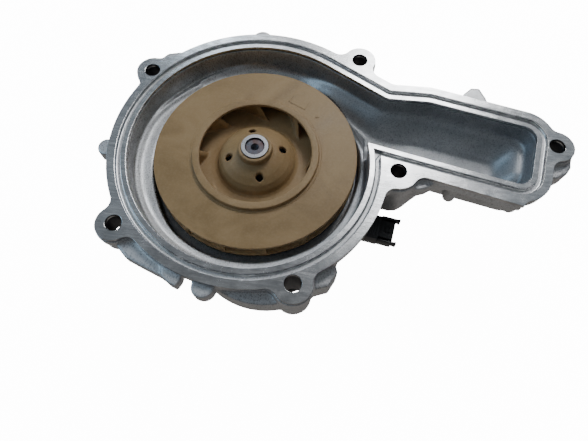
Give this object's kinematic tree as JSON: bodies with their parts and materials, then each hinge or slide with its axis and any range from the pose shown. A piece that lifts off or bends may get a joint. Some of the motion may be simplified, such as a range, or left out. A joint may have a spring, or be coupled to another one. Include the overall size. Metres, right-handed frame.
{
  "type": "engine coolant pump",
  "caption": "Centrifugal engine coolant pump: cast volute housing with discharge duct, closed impeller, plug for the clutch coil and a clutched belt pulley behind.",
  "frame": {"origin": "where the shaft axis meets the plane of the machined mounting face", "axes": "+Z along the shaft out of the mounting face towards the engine, +X along the discharge duct, so the belt pulley is at -Z"},
  "size_m": [0.2978, 0.1973, 0.097],
  "materials": {
    "cast_aluminium": "die-cast, machined on the flange face",
    "tan_plastic": "moulded, glass filled",
    "black_plastic": "moulded",
    "cage_plastic": "moulded",
    "seal_rubber": "smooth",
    "carbon": "lapped",
    "copper": "enamelled wire",
    "tinned_brass": "drawn",
    "dark_coated_steel": "phosphated and coated",
    "spring_steel": "rolled",
    "machined_steel": "turned and ground"
  },
  "bodies": {
    "housing": {"pump_housing": "cast_aluminium", "seal_cup": "tinned_brass", "seal_spring": "spring_steel", "seal_bellows": "seal_rubber", "seal_face_ring": "carbon", "bearing_outer_ring": "machined_steel", "bearing_seals": "seal_rubber", "bearing_circlip": "spring_steel", "coil_plate": "dark_coated_steel", "coil_shell": "dark_coated_steel", "coil_bobbin": "cage_plastic", "coil_winding": "copper", "coil_screws": "machined_steel", "connector_body": "black_plastic", "connector_pins": "tinned_brass", "pulley_bearing_inner_ring": "machined_steel", "pulley_bearing_circlip": "spring_steel"},
    "rotor": {"pump_shaft": "machined_steel", "impeller_bush": "machined_steel", "impeller_hub": "tan_plastic", "impeller_shroud": "tan_plastic", "seal_mating_ring": "carbon", "seal_mating_cup": "seal_rubber", "clutch_hub": "machined_steel", "hub_nut": "machined_steel", "leaf_springs": "spring_steel", "hub_rivets": "machined_steel"},
    "armature": {"armature_plate": "machined_steel", "armature_rivets": "machined_steel"},
    "pulley": {"clutch_rotor": "dark_coated_steel", "pulley_rim": "dark_coated_steel", "pulley_bearing_outer_ring": "machined_steel", "pulley_bearing_seals": "seal_rubber", "rotor_circlip": "spring_steel"},
    "shaft_cage": {"shaft_bearing_balls": "machined_steel", "shaft_bearing_cages": "cage_plastic"},
    "pulley_cage": {"pulley_bearing_balls": "machined_steel", "pulley_bearing_cages": "cage_plastic"}
  },
  "joints": [
    {"name": "impeller_spin", "type": "hinge", "parent": "housing", "child": "rotor", "pos_m": [0, 0, 0], "axis": [0, 0, 1], "continuous": true},
    {"name": "armature_pull", "type": "slide", "parent": "rotor", "child": "armature", "axis": [0, 0, 1], "range_m": [0, 0.00045], "stiffness_N_per_m": 20000, "deforming": ["leaf_springs"]},
    {"name": "pulley_spin", "type": "hinge", "parent": "housing", "child": "pulley", "pos_m": [0, 0, -0.067], "axis": [0, 0, 1], "continuous": true},
    {"name": "shaft_cage_spin", "type": "hinge", "parent": "housing", "child": "shaft_cage", "pos_m": [0, 0, -0.065], "axis": [0, 0, 1], "continuous": true},
    {"name": "pulley_cage_spin", "type": "hinge", "parent": "housing", "child": "pulley_cage", "pos_m": [0, 0, -0.071], "axis": [0, 0, 1], "continuous": true}
  ],
  "couplings": [
    {"joint": "shaft_cage_spin", "follows": "impeller_spin", "ratio": 0.3461},
    {"joint": "pulley_cage_spin", "follows": "pulley_spin", "ratio": 0.5575}
  ]
}
